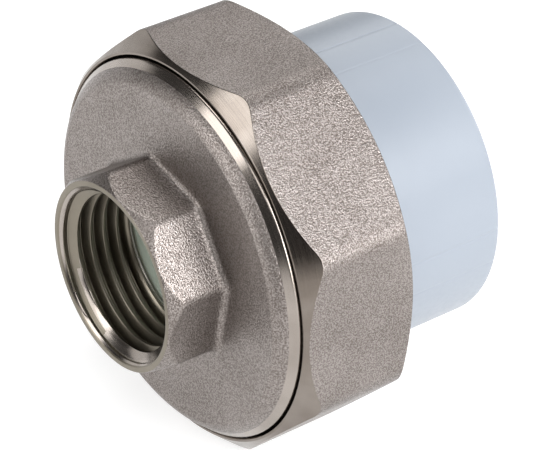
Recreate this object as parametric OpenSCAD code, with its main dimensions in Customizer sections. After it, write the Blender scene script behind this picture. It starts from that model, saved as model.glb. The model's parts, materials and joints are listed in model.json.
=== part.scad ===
// Union fitting: a threaded metal end and a plastic pipe socket, drawn
// together by an octagonal union nut and sealed by a ring between them.
// The fitting's axis is X: the threaded mouth faces -X, the pipe socket +X.
// Stations along the axis are counted from the mouth face, and every node is
// then shifted so that the origin is midway between the two end faces.

/* [Pipe thread, parallel, 1/2 inch] */
// Crest diameter of the female pipe thread (minor diameter)
pipe_minor_d = 18.631; // [18.4:0.001:19]
// Root diameter of the female pipe thread (major diameter)
pipe_major_d = 20.955; // [20.8:0.001:21.3]
// Pitch of the female pipe thread
pipe_pitch = 1.814; // [1.6:0.001:1.9]
// Number of full thread grooves
pipe_turns = 4; // [2:1:4]
// Diameter of the countersunk mouth
mouth_d = 21.8; // [21.4:0.1:22.2]

/* [Threaded end] */
// Wrench size of the small octagonal boss
boss_af = 23.2; // [22.8:0.1:26]
// Radius of the boss's corners
boss_corner_r = 1.8; // [0.4:0.1:2]
// Length of the boss, from the mouth face to the disc
boss_l = 7.4; // [6.8:0.1:8]
// Length of the cone that takes the boss's corners down to the round rim
boss_cone_l = 2.4; // [1:0.1:4]
// Diameter of the disc's turned rim
disc_d = 46; // [45.4:0.1:46]
// Diameter of the flat part of the disc's face
disc_flat_d = 41.4; // [30:0.1:41.6]
// Diameter where the cast face ends and the turned rim begins
disc_cast_d = 44.4; // [44:0.1:45]
// How far the cast face falls away from the flat part to the turned rim
disc_drop = 1.2; // [0.3:0.1:1.4]
// Length of the rim's turned chamfer
rim_cone_l = 0.8; // [0.3:0.1:1]
// Thickness of the plate under the disc's face
plate_t = 2; // [1.6:0.1:2.2]

/* [Union thread] */
// Crest diameter of the external thread (major diameter)
union_major_d = 45; // [44.6:0.1:45.2]
// Pitch of the union thread
union_pitch = 2; // [1.6:0.1:2.2]
// Diametral gap left between the two plain cylinders that stand for the thread
union_gap = 0.6; // [0.3:0.05:0.8]
// Inside diameter of the externally threaded skirt
skirt_bore_d = 35.2; // [34.6:0.1:37]

/* [Union nut] */
// Wrench size of the union nut
nut_af = 48; // [48:0.5:52]
// Radius of the nut's corners
nut_corner_r = 3.5; // [1:0.5:6]
// Station of the nut's front face
nut_front_x = 9.6; // [9.4:0.1:10.4]
// Length of the nut
nut_l = 15; // [14:0.1:16]
// Length of the turned cone at the front corners
nut_front_cone_l = 2.3; // [0.5:0.1:3]
// Length of the turned cone at the rear corners
nut_rear_cone_l = 1.2; // [0.5:0.1:2]
// Diameter of the recess that the disc sits in
recess_d = 46.4; // [46.2:0.1:47]
// Depth of that recess
recess_l = 2.2; // [1.6:0.1:2.4]
// Diameter of the hole in the rear lip
lip_bore_d = 38.8; // [38.6:0.1:40.4]
// Thickness of the rear lip
lip_t = 2.6; // [2:0.1:3.2]

/* [Socket end] */
// Pipe that the socket takes, outside diameter
pipe_d = 32; // [31.6:0.1:32.4]
// Diametral allowance for solvent cement
pipe_gap = 0.2; // [0.1:0.05:0.3]
// Depth of the pipe socket
socket_depth = 22; // [18:0.5:22]
// Outside diameter of the socket
socket_d = 38; // [37.4:0.1:38.4]
// Diameter of the collar that the nut's lip pulls on
collar_d = 42.4; // [41.6:0.1:42.8]
// Diameter of the nose that reaches into the skirt
nose_d = 34.4; // [33:0.1:34.4]
// Diameter of the flow passage through the nose
flow_d = 20; // [19:0.1:22]
// Overall length of the fitting
overall_l = 41.5; // [41.5:0.5:46]

/* [Sealing ring] */
// Section diameter of the ring as fitted
ring_section_d = 2.2; // [1.8:0.1:2.4]
// Mean diameter of the ring
ring_mean_d = 27.2; // [26:0.1:28]

/* [Hidden] */

$fn = 96;
cut = 1;                     // how far cutting bodies run past what they cut
sides = 8;                   // both wrench forms are octagons
half_side = 180 / sides;
boss_turn = 11.25;           // height angle of the boss's first corner, on the -Y side
arc_steps = 12;              // straight pieces in a drawn arc
corner_steps = 3;            // straight pieces in each half of a rounded corner

mid_x = overall_l / 2;
plate_back_x = boss_l + plate_t;
nut_back_x = nut_front_x + nut_l;
lip_x = nut_back_x - lip_t;
collar_t = 3.2;
collar_x = lip_x - collar_t;
rim_seat = 1.3;              // how far the rim reaches into the nut's recess
rim_back_x = nut_front_x + rim_seat;
pitch_d_drop = 0.6495;       // major less pitch diameter of a 60 degree thread, in pitches
union_bore_d = union_major_d - pitch_d_drop * union_pitch;
union_male_d = union_bore_d - union_gap;
neck_l = 1;                  // plain neck between the rim and the thread
neck_depth = 0.6;
socket_floor_x = overall_l - socket_depth;
nose_gap = 0.4;              // between the nose and the plate, filled by the ring
nose_x = plate_back_x + nose_gap;
mouth_cone_l = (mouth_d - pipe_minor_d) / 2;
flank_angle = 27.5;          // half the angle of the pipe thread's profile
first_land = 0.15;           // crest left between the countersink and the first groove
groove_half = pipe_pitch / 12;
flank_l = (pipe_major_d - pipe_minor_d) / 2 * tan(flank_angle);
first_groove_x = mouth_cone_l + first_land + groove_half + flank_l;
edge = 0.4;                  // small broken edges
face_step = 0.1;             // a turned face ends this far inside the flats
front_face_step = 0.4;       // and the nut's front face this far
ring_side_gap = 0.2;         // between the ring and each side of its groove

// Points of an arc, radius first and station second, centred on (cr, cx)
function arc(cr, cx, r, from, to) =
  [for (i = [0:arc_steps]) let (a = from + (to - from) * i / arc_steps)
    [cr + r * cos(a), cx + r * sin(a)]];

// Draws what is modelled about Z, with heights as stations, along the X axis
module on_axis() {
  translate([-mid_x, 0, 0]) rotate([0, 90, 0]) children();
}

// Solid of revolution from points of radius and station
module turned(points) {
  rotate_extrude() polygon(points);
}

// Straight prism of a regular polygon with rounded corners, first corner at turn
module rounded_prism(af, corner_r, length, turn) {
  centre_r = (af / 2 - corner_r) / cos(half_side);
  linear_extrude(length)
    polygon([for (i = [0:sides - 1], k = [-corner_steps:corner_steps])
      let (a = turn + i * 2 * half_side, b = a + half_side * k / corner_steps)
        centre_r * [cos(a), sin(a)] + corner_r * [cos(b), sin(b)]]);
}

function corner_radius(af, r) = (af / 2 - r) / cos(half_side) + r;

// Female pipe thread as evenly spaced grooves, and its countersunk mouth
module pipe_bore() {
  minor_r = pipe_minor_d / 2;
  major_r = pipe_major_d / 2;
  groove = [[minor_r, -groove_half - flank_l], [major_r, -groove_half],
            [major_r, groove_half], [minor_r, groove_half + flank_l]];
  turned(concat(
    [[0, -cut], [mouth_d / 2 + cut, -cut], [minor_r, mouth_cone_l]],
    [for (i = [0:pipe_turns - 1], p = groove) p + [0, first_groove_x + i * pipe_pitch]],
    [[minor_r, plate_back_x - edge], [minor_r + edge + cut, plate_back_x + cut],
     [0, plate_back_x + cut]]));
}

// Cast boss: an octagon whose front corners run out into the round rim
module boss() {
  rim_r = boss_af / 2 - face_step;
  corner = corner_radius(boss_af, boss_corner_r);
  intersection() {
    rounded_prism(boss_af, boss_corner_r, boss_l + edge, 270 - boss_turn);
    turned([[0, 0], [rim_r - edge / 2, 0], [rim_r, edge / 2],
            [corner + edge, boss_cone_l], [corner + edge, boss_l + edge], [0, boss_l + edge]]);
  }
}

// Disc, neck and threaded skirt as one turned body, open at the back
module disc_and_skirt() {
  rim_r = disc_d / 2;
  cast_r = disc_cast_d / 2;
  flat_r = disc_flat_d / 2;
  fall_r = (pow(cast_r - flat_r, 2) + pow(disc_drop, 2)) / (2 * disc_drop);
  fall_angle = asin((cast_r - flat_r) / fall_r);
  thread_r = union_male_d / 2;
  neck_r = thread_r - neck_depth;
  turned(concat(
    [[0, boss_l]],
    arc(flat_r, boss_l + fall_r, fall_r, -90, fall_angle - 90),
    [[rim_r, boss_l + disc_drop + rim_cone_l], [rim_r, rim_back_x], [neck_r, rim_back_x], [neck_r, rim_back_x + neck_l],
     [thread_r, rim_back_x + neck_l + edge], [thread_r, collar_x - edge],
     [thread_r - edge, collar_x], [skirt_bore_d / 2 + edge, collar_x],
     [skirt_bore_d / 2, collar_x - edge], [skirt_bore_d / 2, plate_back_x],
     [0, plate_back_x]]));
}

module threaded_end() {
  color("#a39b93") on_axis() difference() {
    union() {
      boss();
      disc_and_skirt();
    }
    pipe_bore();
  }
}

module union_nut() {
  front_r = nut_af / 2 - front_face_step;
  back_r = nut_af / 2 - face_step;
  corner = corner_radius(nut_af, nut_corner_r);
  front_grow = (corner + edge - front_r) / (corner - front_r);
  back_grow = (corner + edge - back_r) / (corner - back_r);
  bore_r = union_bore_d / 2;
  color("#b3aaa4") on_axis() difference() {
    intersection() {
      translate([0, 0, nut_front_x])
        rounded_prism(nut_af, nut_corner_r, nut_l, half_side);
      turned([[0, nut_front_x], [front_r, nut_front_x],
              [corner + edge, nut_front_x + nut_front_cone_l * front_grow],
              [corner + edge, nut_back_x - nut_rear_cone_l * back_grow],
              [back_r, nut_back_x], [0, nut_back_x]]);
    }
    turned([[0, nut_front_x - cut], [recess_d / 2, nut_front_x - cut],
            [recess_d / 2, nut_front_x + recess_l],
            [bore_r, nut_front_x + recess_l + (recess_d / 2 - bore_r) / 2],
            [bore_r, lip_x], [lip_bore_d / 2, lip_x],
            [lip_bore_d / 2, nut_back_x + cut], [0, nut_back_x + cut]]);
  }
}

module socket_end() {
  outer_r = socket_d / 2;
  collar_r = collar_d / 2;
  nose_r = nose_d / 2;
  bore_r = (pipe_d + pipe_gap) / 2;
  groove_in_r = (ring_mean_d - ring_section_d) / 2 - ring_side_gap;
  groove_out_r = (ring_mean_d + ring_section_d) / 2 + ring_side_gap;
  groove_floor_x = plate_back_x + ring_section_d;
  color("#d3dae6") on_axis() turned([
    [flow_d / 2, nose_x], [groove_in_r, nose_x],
    [groove_in_r, groove_floor_x], [groove_out_r, groove_floor_x],
    [groove_out_r, nose_x], [nose_r - edge, nose_x], [nose_r, nose_x + edge],
    [nose_r, collar_x], [collar_r - edge, collar_x], [collar_r, collar_x + edge],
    [collar_r, lip_x], [outer_r, lip_x],
    [outer_r, overall_l - edge], [outer_r - edge, overall_l],
    [bore_r + edge, overall_l], [bore_r, overall_l - edge],
    [bore_r, socket_floor_x], [flow_d / 2, socket_floor_x]]);
}

module sealing_ring() {
  color("#2b2b2d") on_axis() rotate_extrude()
    translate([ring_mean_d / 2, plate_back_x + ring_section_d / 2]) circle(d = ring_section_d);
}

threaded_end();
union_nut();
socket_end();
sealing_ring();
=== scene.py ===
import json
from math import cos, pi, radians, sin

import bpy
import numpy as np
from mathutils import Euler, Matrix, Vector


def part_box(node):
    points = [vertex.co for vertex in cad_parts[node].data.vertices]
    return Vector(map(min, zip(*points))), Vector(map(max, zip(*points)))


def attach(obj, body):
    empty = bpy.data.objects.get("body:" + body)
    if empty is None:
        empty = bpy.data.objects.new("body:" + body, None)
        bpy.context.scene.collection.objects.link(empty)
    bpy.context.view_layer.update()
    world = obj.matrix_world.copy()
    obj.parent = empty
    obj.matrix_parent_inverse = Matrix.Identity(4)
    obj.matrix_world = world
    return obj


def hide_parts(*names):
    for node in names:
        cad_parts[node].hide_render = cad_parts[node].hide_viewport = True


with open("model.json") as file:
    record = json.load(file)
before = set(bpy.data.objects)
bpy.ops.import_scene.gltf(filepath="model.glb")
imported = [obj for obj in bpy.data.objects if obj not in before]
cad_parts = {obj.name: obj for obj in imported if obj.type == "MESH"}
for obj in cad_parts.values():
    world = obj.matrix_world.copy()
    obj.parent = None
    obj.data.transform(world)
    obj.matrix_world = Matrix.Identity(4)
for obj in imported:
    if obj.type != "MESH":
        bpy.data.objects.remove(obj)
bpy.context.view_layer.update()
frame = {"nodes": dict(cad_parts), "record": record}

# The union fitting's metal and plastic pieces as finished surfaces, laid over the CAD model.
# Lengths are in millimetres and stations count along +X from the mouth face. Each mesh is put
# into metres last.

MM = 0.001
WELD = 1e-4                # points nearer than this, in millimetres, are one point
SIDES = 8
HALF_SIDE = pi / SIDES


def station_span(node):
    """First station, last station and outer radius of a CAD node, in millimetres."""
    low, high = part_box(node)
    return (low.x - mouth.x) / MM, (high.x - mouth.x) / MM, high.z / MM


def mount_radius(name):
    """Radius in millimetres of a bore or threaded hole of the record."""
    mount = next(m for m in frame["record"]["mounts"] if m["name"] == name)
    return mount["dims"]["r_mm"]


mouth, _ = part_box("threaded_end")
_, skirt_end, disc_r = station_span("threaded_end")
nut_front, nut_back, nut_apothem = station_span("union_nut")
_, socket_face, _ = station_span("socket_end")
ring_front, ring_back, _ = station_span("sealing_ring")

# Threaded end
BOSS_APOTHEM = 11.6
BOSS_CORNER_R = 1.8
BOSS_CORNER = radians(33.75)    # angle of one corner about +X, from +Y towards +Z
RIM_R = 11.5
BOSS_CONE_SLOPE = 1.77          # stations per millimetre of radius
MOUTH_R = 10.9
MOUTH_BEVEL = 0.15
BOSS_FILLET = 1.0               # setback of the fillet between the boss and the disc
DISC_FACE = 7.4
DISC_FLAT_R = 20.7
DISC_CAST_R = 22.2
DISC_DROP = 1.2
EDGE_SLOPE = 0.3                # fall of the disc's cast edge where it starts
RIM_CONE_L = 0.8
RIM_BACK = 10.9
PLATE_BACK = ring_front         # the ring seals on the plate's back
PIPE_CREST_R = mount_radius("pipe_thread")
PIPE_DEPTH = 1.162
PIPE_PITCH = 1.814
PIPE_HALF_ANGLE = radians(27.5)
PIPE_THREAD_END = 8.9
PIPE_FADE = 0.9                 # length over which the last turn runs out
PIPE_CREST_SHARE = 0.15
SKIRT_BORE_R = 17.6
SKIRT_EDGE = 0.4
SKIRT_BEVEL = 0.3

# Union thread, 45 mm by 2 mm
UNION_PITCH = 2.0
UNION_HALF_ANGLE = radians(30)
MALE_CREST_R = 22.42
MALE_ROOT_R = 21.27
FEMALE_ROOT_R = 22.56
FEMALE_CREST_R = 21.42
MALE_START = 11.9
MALE_RISE = 0.8                 # length over which the first turn rises
END_SLOPE = 1.5                 # radius per millimetre where a union thread is cut off

# Union nut
NUT_CORNER_R = 3.5
NUT_CORNER = radians(22.5)
FRONT_FACE_R = 23.6
BACK_FACE_R = 23.9
FRONT_CONE_SLOPE = 1.101
REAR_CONE_SLOPE = 0.671
RECESS_R = 23.2
RECESS_BACK = 11.8
RECESS_LEAD = 0.5
RECESS_BEVEL_L = 0.2
RECESS_BEVEL_R = 0.15
LIP_FRONT = 22.0
LIP_R = 19.4
LIP_EDGE = 0.3
RELIEF_R = FEMALE_ROOT_R + 0.04
RELIEF_L = 0.8                  # plain length between the thread and the lip

# Socket end
SOCKET_R = 19.0
SOCKET_BORE_R = mount_radius("pipe_socket")
SOCKET_FLOOR = 19.5
SOCKET_LEAD = 0.8
COLLAR_R = 21.2
COLLAR_FRONT = 18.8
NOSE_R = 17.2
NOSE_FRONT = 9.8
NOSE_LEAD_R = 0.3
NOSE_LEAD_L = 0.6
FLOW_R = 10.0
MOULD_LINE = radians(88.5)      # angles of the first mould line and the first faint streak
MOULD_STREAK = radians(12.5)
LINE_WIDTH = 0.14
LINE_DEPTH = 0.05
RING_GROOVE_IN = 12.3
RING_GROOVE_OUT = 14.9


# ---------------------------------------------------------------- surfaces

def corner_reach(apothem, corner_r):
    """Half the angle that a rounded corner takes up, seen from the axis."""
    centre = (apothem - corner_r) / cos(HALF_SIDE)
    return np.arctan2(corner_r * sin(HALF_SIDE), centre + corner_r * cos(HALF_SIDE))


def octagon_radius(theta, apothem, corner_r, first_corner):
    """Distance from the axis to a rounded octagon: apothem / cos(angle from the flat's middle) on
    a flat, and the far side of the corner's circle within a corner."""
    off = (theta - first_corner + HALF_SIDE) % (2 * HALF_SIDE) - HALF_SIDE
    centre = (apothem - corner_r) / cos(HALF_SIDE)
    flat = apothem / np.cos(HALF_SIDE - np.abs(off))
    under_root = np.maximum(corner_r ** 2 - (centre * np.sin(off)) ** 2, 0)
    corner = centre * np.cos(off) + np.sqrt(under_root)
    return np.where(np.abs(off) < corner_reach(apothem, corner_r), corner, flat)


def side_angles(reach, first_corner, per_corner=9, per_flat=12):
    """Angles once round the axis, close together in the eight corners. The last closes the turn."""
    hold = reach * 1.12
    corner = np.linspace(-reach, reach, per_corner)
    flat = np.linspace(hold, 2 * HALF_SIDE - hold, per_flat)
    side = np.concatenate([corner, flat])
    turns = first_corner + 2 * HALF_SIDE * np.arange(SIDES)
    around = (turns[:, None] + side[None, :]).ravel()
    return np.append(around, around[0] + 2 * pi)


def along(theta, *corners):
    """Outline corners as one array (angle, corner, 2). A corner is (radius, station), and either
    may be one number or a value for each angle."""
    rows = [np.stack(np.broadcast_arrays(r, x, theta)[:2], -1) for r, x in corners]
    return np.stack(rows, 1).astype(float)


def rounded(corners, setbacks, steps=3):
    """Rounds an open outline's inner corners. Each corner P becomes the parabola
    P + d ((1 - s)^2 u + s^2 w), where u and w point along the two edges and d is the setback, with
    a further point on each edge that keeps the edge straight. Returns the points, and for each
    point the number of the edge after it."""
    points, edges = [corners[:, 0]], [0]
    s = np.linspace(0, 1, 2 * steps + 1)
    for i, setback in enumerate(setbacks, start=1):
        here = corners[:, i]
        u, w = corners[:, i - 1] - here, corners[:, i + 1] - here
        lu, lw = (np.maximum(np.linalg.norm(v, axis=1, keepdims=True), 1e-6) for v in (u, w))
        u, w = u / lu, w / lw
        d = np.minimum(setback, 0.42 * np.minimum(lu, lw))
        points.append(here + u * np.minimum(1.8 * d, 0.48 * lu))
        points.extend(here + d * ((1 - t) ** 2 * u + t ** 2 * w) for t in s)
        points.append(here + w * np.minimum(1.8 * d, 0.48 * lw))
        edges.extend([i - 1] * (steps + 1) + [i] * (steps + 2))
    points.append(corners[:, -1])
    edges.append(len(setbacks))
    return np.stack(points, 1), np.array(edges)


def arc_drop(r_from, r_to, station, drop, slope, count=10):
    """Corners of a face that leaves a flat one at r_from, at a slope, and falls by drop at r_to: the
    sum of a straight fall and a circular arc."""
    reach = r_to - r_from
    drop = drop - slope * reach
    radius = (reach ** 2 + drop ** 2) / (2 * drop)
    r = r_from + reach * np.linspace(0, 1, count)
    arc = radius - np.sqrt(radius ** 2 - (r - r_from) ** 2)
    return list(zip(r, station + slope * (r - r_from) + arc))


def thread_strip(theta, start, end, pitch, crest_r, root_r, half_angle, crest_share=1 / 8):
    """Helical thread between two stations, one row of points for each angle. The profile's points
    keep to fixed places on the helix station = pitch (turn + theta / 2 pi), so crests and flanks
    are grid lines. Radius is crest_r on the crest, changes by the flank's slope, and stops at
    root_r; the crest is crest_share of the pitch wide. Points past the ends stay on the ends."""
    depth = abs(crest_r - root_r)
    crest = crest_share / 2
    root = crest + depth * np.tan(half_angle) / pitch
    ease = 0.022
    marks = np.array([-root - ease, -root + ease, -crest - ease, -crest + ease,
                      crest - ease, crest + ease, root - ease, root + ease])
    middles = (np.append(marks, marks[0] + 1)[:-1] + np.append(marks, marks[0] + 1)[1:]) / 2
    phase = np.sort(np.concatenate([marks, middles]))
    sign = 1 if crest_r > root_r else -1
    fall = np.clip((np.abs(phase) - crest) / (root - crest), 0, 1)
    fall = np.where(np.abs(phase) > 0.5, 1, fall)
    radius = crest_r - sign * depth * fall
    first = int(np.floor(start / pitch)) - 2 - int(np.ceil(theta.max() / (2 * pi)))
    last = int(np.ceil(end / pitch)) + 2
    turns = np.arange(first, last)
    at = (turns[:, None] + phase[None, :]).ravel()
    x = pitch * (at[None, :] + theta[:, None] / (2 * pi))
    r = np.broadcast_to(np.tile(radius, len(turns)), x.shape)
    return np.clip(x, start, end), r


def skin(name, theta, strips, materials):
    """One closed mesh from an outline at each angle, point = (station, r cos t, r sin t). strips
    are (points, finish of the face after each point) and follow each other round the outline.
    Neighbouring outlines are joined by four-sided faces, and points that coincide are one point."""
    outline = np.concatenate([points for points, _ in strips], 1)
    finish = np.concatenate([np.broadcast_to(f, points.shape[:2]) for points, f in strips], 1)
    r, x = outline[..., 0], outline[..., 1]
    t = theta[:, None]
    points = np.stack([x, r * np.cos(t), r * np.sin(t)], -1)
    number = np.arange(r.size).reshape(r.shape)
    following = np.roll(number, -1, axis=1)
    quads = np.stack([number[:-1], following[:-1], following[1:], number[1:]], -1).reshape(-1, 4)
    finish = finish[:-1].ravel()

    flat = points.reshape(-1, 3)
    _, first, inverse = np.unique(np.round(flat / WELD).astype(np.int64), axis=0,
                                  return_index=True, return_inverse=True)
    quads = inverse.reshape(-1)[quads]
    co = flat[first]
    a, b, c = (co[quads[:, i]] for i in (0, 1, 2))
    d = co[quads[:, 3]]
    volume = (np.cross(a, b) * c).sum() + (np.cross(a, c) * d).sum()
    if volume < 0:
        quads = quads[:, ::-1]

    def distinct(faces):
        return (np.diff(np.sort(faces, 1), axis=1) != 0).all(1)

    whole = distinct(quads)
    halves = np.concatenate([quads[~whole][:, [0, 1, 2]], quads[~whole][:, [0, 2, 3]]])
    half_finish = np.tile(finish[~whole], 2)
    kept = distinct(halves)
    faces = quads[whole].tolist() + halves[kept].tolist()
    finish = np.concatenate([finish[whole], half_finish[kept]])

    co = co * MM + np.array([mouth.x, 0, 0])
    mesh = bpy.data.meshes.new(name)
    mesh.from_pydata(co.tolist(), [], faces)
    for material in materials:
        mesh.materials.append(material)
    mesh.polygons.foreach_set("material_index", finish.astype(np.int32))
    mesh.polygons.foreach_set("use_smooth", np.ones(len(mesh.polygons), bool))
    mesh.update()
    piece = bpy.data.objects.new(name, mesh)
    bpy.context.scene.collection.objects.link(piece)
    return piece


# ---------------------------------------------------------------- materials

class Shader:
    """A material's node tree with short ways to add and join nodes."""

    def __init__(self, name):
        self.material = bpy.data.materials.new(name)
        self.material.use_nodes = True
        self.tree = self.material.node_tree
        self.surface = self.tree.nodes["Principled BSDF"]

    def add(self, kind, inputs=None, **settings):
        node = self.tree.nodes.new(kind)
        for key, value in settings.items():
            setattr(node, key, value)
        for key, value in (inputs or {}).items():
            self.put(node.inputs[key], value)
        return node

    def put(self, socket, value):
        if isinstance(value, bpy.types.NodeSocket):
            self.tree.links.new(value, socket)
        else:
            socket.default_value = value

    def maths(self, operation, a, b=0.0):
        node = self.add("ShaderNodeMath", operation=operation)
        self.put(node.inputs[0], a)
        self.put(node.inputs[1], b)
        return node.outputs[0]

    def noise(self, scale, detail=2.0, roughness=0.5, vector=None):
        node = self.add("ShaderNodeTexNoise", {"Scale": scale, "Detail": detail,
                                               "Roughness": roughness})
        self.put(node.inputs["Vector"], vector or self.place())
        return node.outputs["Fac"]

    def place(self):
        return self.add("ShaderNodeTexCoord").outputs["Object"]

    def spread(self, value, low, high, to_low, to_high):
        node = self.add("ShaderNodeMapRange", {"Value": value, "From Min": low, "From Max": high,
                                               "To Min": to_low, "To Max": to_high})
        return node.outputs["Result"]

    def blend_colours(self, share, first, second):
        node = self.add("ShaderNodeMix", data_type="RGBA")
        self.put(node.inputs["Factor"], share)
        self.put(node.inputs["A"], (*first, 1))
        self.put(node.inputs["B"], (*second, 1))
        return node.outputs["Result"]

    def bump(self, height, strength, distance, under=None):
        node = self.add("ShaderNodeBump", {"Strength": strength, "Distance": distance,
                                           "Height": height})
        if under is not None:
            self.put(node.inputs["Normal"], under)
        return node.outputs["Normal"]

    def set(self, **inputs):
        for key, value in inputs.items():
            self.put(self.surface.inputs[key.replace("_", " ")], value)
        return self.material


def cast_nickel(name, grain, depth, contrast, roughness, tones):
    """Plated cast skin: grains of one size with finer noise on them, darker in the hollows, and
    slow changes of colour."""
    m = Shader(name)
    grains = m.noise(1 / grain, 1.5, 0.6)
    normal = m.bump(grains, 1.0, depth)
    slow = m.noise(120.0, 3.0, 0.55)
    tint = m.maths("ADD", m.spread(slow, 0.35, 0.65, 0.0, 0.2),
                   m.spread(grains, 0.5 - contrast, 0.5 + contrast, 0.0, 0.8))
    colour = m.blend_colours(tint, *tones)
    rough = m.spread(grains, 0.3, 0.7, roughness + 0.06, roughness - 0.05)
    return m.set(Base_Color=colour, Metallic=1.0, Roughness=rough, Normal=normal)


def turned_nickel(name, tones, roughness=0.2, line=0.09, depth=0.0016):
    """Plated turned metal: fine lines round the axis, from noise on the radius and station."""
    m = Shader(name)
    parts = m.add("ShaderNodeSeparateXYZ", {"Vector": m.place()})
    y, z = parts.outputs["Y"], parts.outputs["Z"]
    radius = m.maths("SQRT", m.maths("ADD", m.maths("MULTIPLY", y, y), m.maths("MULTIPLY", z, z)))
    ground = m.add("ShaderNodeCombineXYZ", {"X": m.maths("MULTIPLY", radius, 1 / (line * MM)),
                                            "Y": m.maths("MULTIPLY", parts.outputs["X"],
                                                         1 / (line * MM)),
                                            "Z": m.maths("MULTIPLY", z, 60.0)})
    lines = m.noise(1.0, 2.0, 0.6, ground.outputs["Vector"])
    marks = m.noise(700.0, 3.0, 0.6)
    normal = m.bump(lines, 0.5, depth * MM, m.bump(marks, 0.25, 0.01 * MM))
    slow = m.noise(150.0, 3.0, 0.5)
    colour = m.blend_colours(m.spread(slow, 0.35, 0.65, 0.0, 1.0), *tones)
    rough = m.spread(lines, 0.3, 0.7, roughness - 0.04, roughness + 0.06)
    return m.set(Base_Color=colour, Metallic=1.0, Roughness=rough, Normal=normal)


def moulded_plastic(name, tones):
    """Satin plastic with faint clouding and a very fine moulded skin."""
    m = Shader(name)
    slow = m.noise(90.0, 3.0, 0.5)
    colour = m.blend_colours(m.spread(slow, 0.3, 0.7, 0.0, 1.0), *tones)
    skin_marks = m.noise(1800.0, 2.0, 0.5)
    rough = m.spread(skin_marks, 0.3, 0.7, 0.32, 0.42)
    normal = m.bump(skin_marks, 0.2, 0.01 * MM)
    return m.set(Base_Color=colour, Roughness=rough, Normal=normal, IOR=1.5)


def seal_rubber():
    """Matt black elastomer with a dusty, slightly mottled skin."""
    m = Shader("seal_rubber")
    mottle = m.noise(900.0, 3.0, 0.6)
    colour = m.blend_colours(mottle, (0.012, 0.012, 0.013), (0.03, 0.03, 0.032))
    rough = m.spread(mottle, 0.3, 0.7, 0.55, 0.75)
    return m.set(Base_Color=colour, Roughness=rough, Normal=m.bump(mottle, 0.3, 0.03 * MM))


def studio_floor():
    """Pale paper that also glows, as a lit table does."""
    m = Shader("studio_floor")
    return m.set(Base_Color=(0.46, 0.46, 0.46, 1), Roughness=0.9,
                 Emission_Color=(1, 1, 1, 1), Emission_Strength=0.68)


# ---------------------------------------------------------------- pieces

CAST, TURNED, BORED = 0, 1, 2
FLAT_EDGE = 5                   # the outline's edge that runs along the nut's flats


def build_threaded_end(cast, turned, bored):
    """Boss, disc and skirt, with the pipe thread inside and the union thread outside."""
    theta = side_angles(corner_reach(BOSS_APOTHEM, BOSS_CORNER_R), BOSS_CORNER)
    boss_r = octagon_radius(theta, BOSS_APOTHEM, BOSS_CORNER_R, BOSS_CORNER)
    cone_end = (boss_r - RIM_R) * BOSS_CONE_SLOPE
    fall = arc_drop(DISC_FLAT_R, DISC_CAST_R, DISC_FACE, DISC_DROP, EDGE_SLOPE)
    rim_front = DISC_FACE + DISC_DROP
    rim_shoulder = rim_front + RIM_CONE_L
    front = [(MOUTH_R - MOUTH_BEVEL, MOUTH_BEVEL), (MOUTH_R, 0), (RIM_R, 0), (boss_r, cone_end),
             (boss_r, DISC_FACE), *fall, (disc_r, rim_shoulder), (disc_r, RIM_BACK),
             (MALE_ROOT_R, RIM_BACK), (MALE_ROOT_R, MALE_START)]
    set_front = [0.08, 0.1, 0.35, BOSS_FILLET, *[0.2] * (len(fall) - 1), 0.06, 0.2, 0.15, 0.1]
    face, edge = rounded(along(theta, *front), set_front)
    face_finish = np.where(edge >= len(front) - 5, TURNED, CAST)
    face_finish = np.where(edge <= 1, BORED, face_finish)

    male_end = skirt_end - SKIRT_BEVEL
    x, r = thread_strip(theta, MALE_START, male_end, UNION_PITCH, MALE_CREST_R, MALE_ROOT_R,
                        UNION_HALF_ANGLE)
    grow = np.clip((x - MALE_START) / MALE_RISE, 0, 1)
    r = MALE_ROOT_R + (r - MALE_ROOT_R) * grow
    r = np.minimum(r, MALE_ROOT_R + (male_end - x) * END_SLOPE)
    male = np.stack([r, x], -1)

    back = [(MALE_ROOT_R, male_end), (MALE_ROOT_R - SKIRT_BEVEL, skirt_end),
            (SKIRT_BORE_R + SKIRT_EDGE, skirt_end), (SKIRT_BORE_R, skirt_end - SKIRT_EDGE),
            (SKIRT_BORE_R, PLATE_BACK), (PIPE_CREST_R + SKIRT_EDGE, PLATE_BACK),
            (PIPE_CREST_R, PLATE_BACK - SKIRT_EDGE), (PIPE_CREST_R, PIPE_THREAD_END)]
    rear, _ = rounded(along(theta, *back), [0.1, 0.1, 0.1, 0.3, 0.08, 0.08])

    x, r = thread_strip(theta, MOUTH_BEVEL, PIPE_THREAD_END, PIPE_PITCH, PIPE_CREST_R,
                        PIPE_CREST_R + PIPE_DEPTH, PIPE_HALF_ANGLE, PIPE_CREST_SHARE)
    fade = np.clip((PIPE_THREAD_END - x) / PIPE_FADE, 0, 1)
    r = PIPE_CREST_R + (r - PIPE_CREST_R) * fade
    cone = MOUTH_R - x          # the countersink, at 45 degrees
    bore_finish = np.where(r < cone, TURNED, BORED)[:, ::-1]
    bore = np.stack([np.maximum(r, cone), x], -1)[:, ::-1]

    strips = [(face, face_finish), (male, TURNED), (rear, TURNED), (bore, bore_finish)]
    return skin("threaded_end_metal", theta, strips, [cast, turned, bored])


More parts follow.
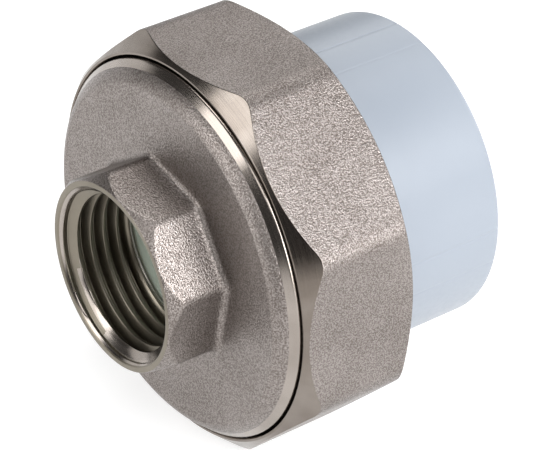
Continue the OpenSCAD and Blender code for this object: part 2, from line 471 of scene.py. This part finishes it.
def build_union_nut(cast, turned):
    """Octagonal nut: cast flats, turned end faces and cones, and the union thread inside."""
    theta = side_angles(corner_reach(nut_apothem, NUT_CORNER_R), NUT_CORNER)
    flat_r = octagon_radius(theta, nut_apothem, NUT_CORNER_R, NUT_CORNER)
    front_cone = nut_front + (flat_r - FRONT_FACE_R) * FRONT_CONE_SLOPE
    rear_cone = nut_back - (flat_r - BACK_FACE_R) * REAR_CONE_SLOPE
    start = RECESS_BACK + RECESS_LEAD
    end = LIP_FRONT - RELIEF_L
    outline = [(RELIEF_R, start), (RECESS_R, RECESS_BACK), (RECESS_R, nut_front + RECESS_BEVEL_L),
               (RECESS_R + RECESS_BEVEL_R, nut_front), (FRONT_FACE_R, nut_front),
               (flat_r, front_cone), (flat_r, rear_cone), (BACK_FACE_R, nut_back),
               (LIP_R + LIP_EDGE, nut_back), (LIP_R, nut_back - LIP_EDGE), (LIP_R, LIP_FRONT),
               (RELIEF_R, LIP_FRONT), (RELIEF_R, end)]
    setbacks = [0.1, 0.06, 0.06, 0.07, 0.09, 0.09, 0.1, 0.08, 0.08, 0.1, 0.1]
    body, edge = rounded(along(theta, *outline), setbacks)
    finish = np.where(edge == FLAT_EDGE, CAST, TURNED)
    x, r = thread_strip(theta, start, end, UNION_PITCH, FEMALE_ROOT_R, FEMALE_CREST_R,
                        UNION_HALF_ANGLE)
    r = np.maximum(r, RELIEF_R - (x - start) * END_SLOPE)
    r = np.maximum(r, RELIEF_R - (end - x) * END_SLOPE)
    thread = np.stack([r, x], -1)[:, ::-1]
    return skin("union_nut_metal", theta, [(body, finish), (thread, TURNED)], [cast, turned])


def build_socket_end(plastic, painted_light_passage_material):
    """Plastic body: nose, seal groove, collar and pipe socket, with faint mould lines outside."""
    quarters = pi / 2 * np.arange(4)
    lines = np.concatenate([quarters + MOULD_LINE, quarters + MOULD_STREAK])
    beside = LINE_WIDTH / SOCKET_R * np.linspace(-2.5, 2.5, 11)
    theta = np.unique(np.concatenate([np.linspace(0, 2 * pi, 193),
                                      (lines[:, None] + beside).ravel() % (2 * pi)]))
    away = np.abs((theta[:, None] - lines + pi) % (2 * pi) - pi)
    dip = LINE_DEPTH * np.exp(-(away * SOCKET_R / LINE_WIDTH) ** 2)
    outer_r = SOCKET_R - dip[:, :4].sum(1) - 0.5 * dip[:, 4:].sum(1)
    outline = [(FLOW_R, SOCKET_FLOOR), (FLOW_R, NOSE_FRONT), (RING_GROOVE_IN, NOSE_FRONT),
               (RING_GROOVE_IN, ring_back), (RING_GROOVE_OUT, ring_back),
               (RING_GROOVE_OUT, NOSE_FRONT), (NOSE_R - NOSE_LEAD_R, NOSE_FRONT),
               (NOSE_R, NOSE_FRONT + NOSE_LEAD_L), (NOSE_R, COLLAR_FRONT),
               (COLLAR_R, COLLAR_FRONT), (COLLAR_R, LIP_FRONT), (outer_r, LIP_FRONT),
               (outer_r, socket_face), (SOCKET_BORE_R + SOCKET_LEAD, socket_face),
               (SOCKET_BORE_R, socket_face - SOCKET_LEAD), (SOCKET_BORE_R, SOCKET_FLOOR),
               (FLOW_R, SOCKET_FLOOR)]
    setbacks = [0.25, 0.1, 0.15, 0.15, 0.1, 0.15, 0.15, 0.3, 0.3, 0.2, 0.2, 0.45, 0.15, 0.15,
                0.4]
    body, edge = rounded(along(theta, *outline), setbacks)
    # The flow bore and the inner nose face get a painted-light copy of the plastic, brighter and
    # greener than the outside
    return skin("socket_end_plastic", theta, [(body, np.where(edge <= 1, 1, 0))],
                [plastic, painted_light_passage_material])


# ---------------------------------------------------------------- studio

LIGHT_DISTANCE = 0.5
FLOOR_HALF = 1.5


def aim(thing, place, target, roll=0.0):
    """Turns a camera or light at place so that it looks at target."""
    turn = (Vector(target) - Vector(place)).to_track_quat("-Z", "Y")
    thing.rotation_euler = (turn.to_matrix() @ Euler((0, 0, roll)).to_matrix()).to_euler()
    thing.location = place


def direction(azimuth, elevation):
    """Unit vector from the fitting towards a place; azimuth 0 is -Y and 90 is +X."""
    a, e = radians(azimuth), radians(elevation)
    return Vector((sin(a) * cos(e), -cos(a) * cos(e), sin(e)))


def add_camera():
    """Long lens a third of a metre away, looking down between the mouth and the -Y side."""
    target = Vector((1.338, -1.552, -0.667)) * MM
    lens = bpy.data.cameras.new("camera")
    lens.lens = 183.3
    lens.sensor_width = 36
    lens.clip_start = 0.01
    camera = bpy.data.objects.new("camera", lens)
    bpy.context.scene.collection.objects.link(camera)
    aim(camera, target + direction(-36.93, 33.23) * 326.77 * MM, target, radians(0.36))
    bpy.context.scene.camera = camera


def add_softbox(name, azimuth, elevation, width, height, power, colour=(1, 1, 1)):
    """Rectangular area light half a metre from the fitting, facing it."""
    lamp = bpy.data.lights.new(name, "AREA")
    lamp.shape = "RECTANGLE"
    lamp.size = width
    lamp.size_y = height
    lamp.energy = power
    lamp.color = colour
    box = bpy.data.objects.new(name, lamp)
    bpy.context.scene.collection.objects.link(box)
    aim(box, direction(azimuth, elevation) * LIGHT_DISTANCE, (0, 0, 0))


def add_floor(level):
    """Square floor under the nut's lowest flat."""
    half = FLOOR_HALF
    co = np.array([[-half, -half, level], [half, -half, level], [half, half, level],
                   [-half, half, level]])
    mesh = bpy.data.meshes.new("floor")
    mesh.from_pydata(co.tolist(), [], [(0, 1, 2, 3)])
    mesh.materials.append(studio_floor())
    floor = bpy.data.objects.new("floor", mesh)
    bpy.context.scene.collection.objects.link(floor)


def light_studio():
    """Dim world, and soft boxes that each show in certain flats, cones and rims."""
    scene = bpy.context.scene
    scene.view_settings.view_transform = "Standard"
    world = bpy.data.worlds.new("studio")
    scene.world = world
    world.use_nodes = True
    backdrop = world.node_tree.nodes["Background"]
    backdrop.inputs["Color"].default_value = (1.0, 0.97, 0.94, 1)
    backdrop.inputs["Strength"].default_value = 0.05
    add_softbox("key_softbox", 14, 32, 0.26, 0.26, 2.2, (0.985, 0.995, 1.02))
    add_softbox("front_softbox", 0, 12, 0.30, 0.20, 1.2)
    add_softbox("left_softbox", 260, 36, 0.26, 0.26, 0.85)
    add_softbox("left_low_softbox", 255, 12, 0.30, 0.20, 0.5)
    add_softbox("top_softbox", 135, 74, 0.28, 0.28, 1.2)
    add_softbox("rear_softbox", 142, 30, 0.26, 0.20, 0.4)
    add_softbox("back_softbox", 192, 10, 0.30, 0.20, 0.2)
    add_softbox("end_softbox", 75, 20, 0.30, 0.20, 0.8)
    add_softbox("fill_softbox", -38, 48, 0.30, 0.20, 0.5)


add_camera()
light_studio()
add_floor(-nut_apothem * MM)

CAST_NICKEL = ((0.137, 0.115, 0.103), (0.331, 0.298, 0.279))
WARM_NICKEL = ((0.29, 0.255, 0.227), (0.36, 0.322, 0.29))
OLIVE_NICKEL = ((0.18, 0.158, 0.124), (0.22, 0.196, 0.158))
BROWN_NICKEL = ((0.18, 0.152, 0.13), (0.25, 0.22, 0.195))
PALE_BLUE = ((0.262, 0.291, 0.333), (0.277, 0.306, 0.347))
# Painted light: a brighter, green-tinted copy of the socket plastic for the flow bore, standing in
# for light through the plastic wall and reflected off the brass
PAINTED_LIGHT_GREEN = ((0.60, 0.66, 0.56), (0.64, 0.70, 0.60))
cast_end = cast_nickel("cast_end_nickel", 0.19 * MM, 0.08 * MM, 0.1, 0.36, CAST_NICKEL)
cast_nut = cast_nickel("cast_nut_nickel", 0.17 * MM, 0.10 * MM, 0.07, 0.33, CAST_NICKEL)
turned = turned_nickel("turned_nickel", WARM_NICKEL)
nut_turned = turned_nickel("nut_turned_nickel", BROWN_NICKEL)
bored = turned_nickel("bored_nickel", OLIVE_NICKEL, 0.34)

end_piece = build_threaded_end(cast_end, turned, bored)
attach(end_piece, "threaded_end")
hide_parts("threaded_end")

nut_piece = build_union_nut(cast_nut, nut_turned)
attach(nut_piece, "union_nut")
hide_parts("union_nut")

# The second material is the same plastic with painted light for the flow bore
socket_piece = build_socket_end(moulded_plastic("socket_plastic", PALE_BLUE),
                                moulded_plastic("passage_plastic", PAINTED_LIGHT_GREEN))
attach(socket_piece, "socket_end")
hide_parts("socket_end")

ring = frame["nodes"]["sealing_ring"]
ring.data.materials.clear()
ring.data.materials.append(seal_rubber())
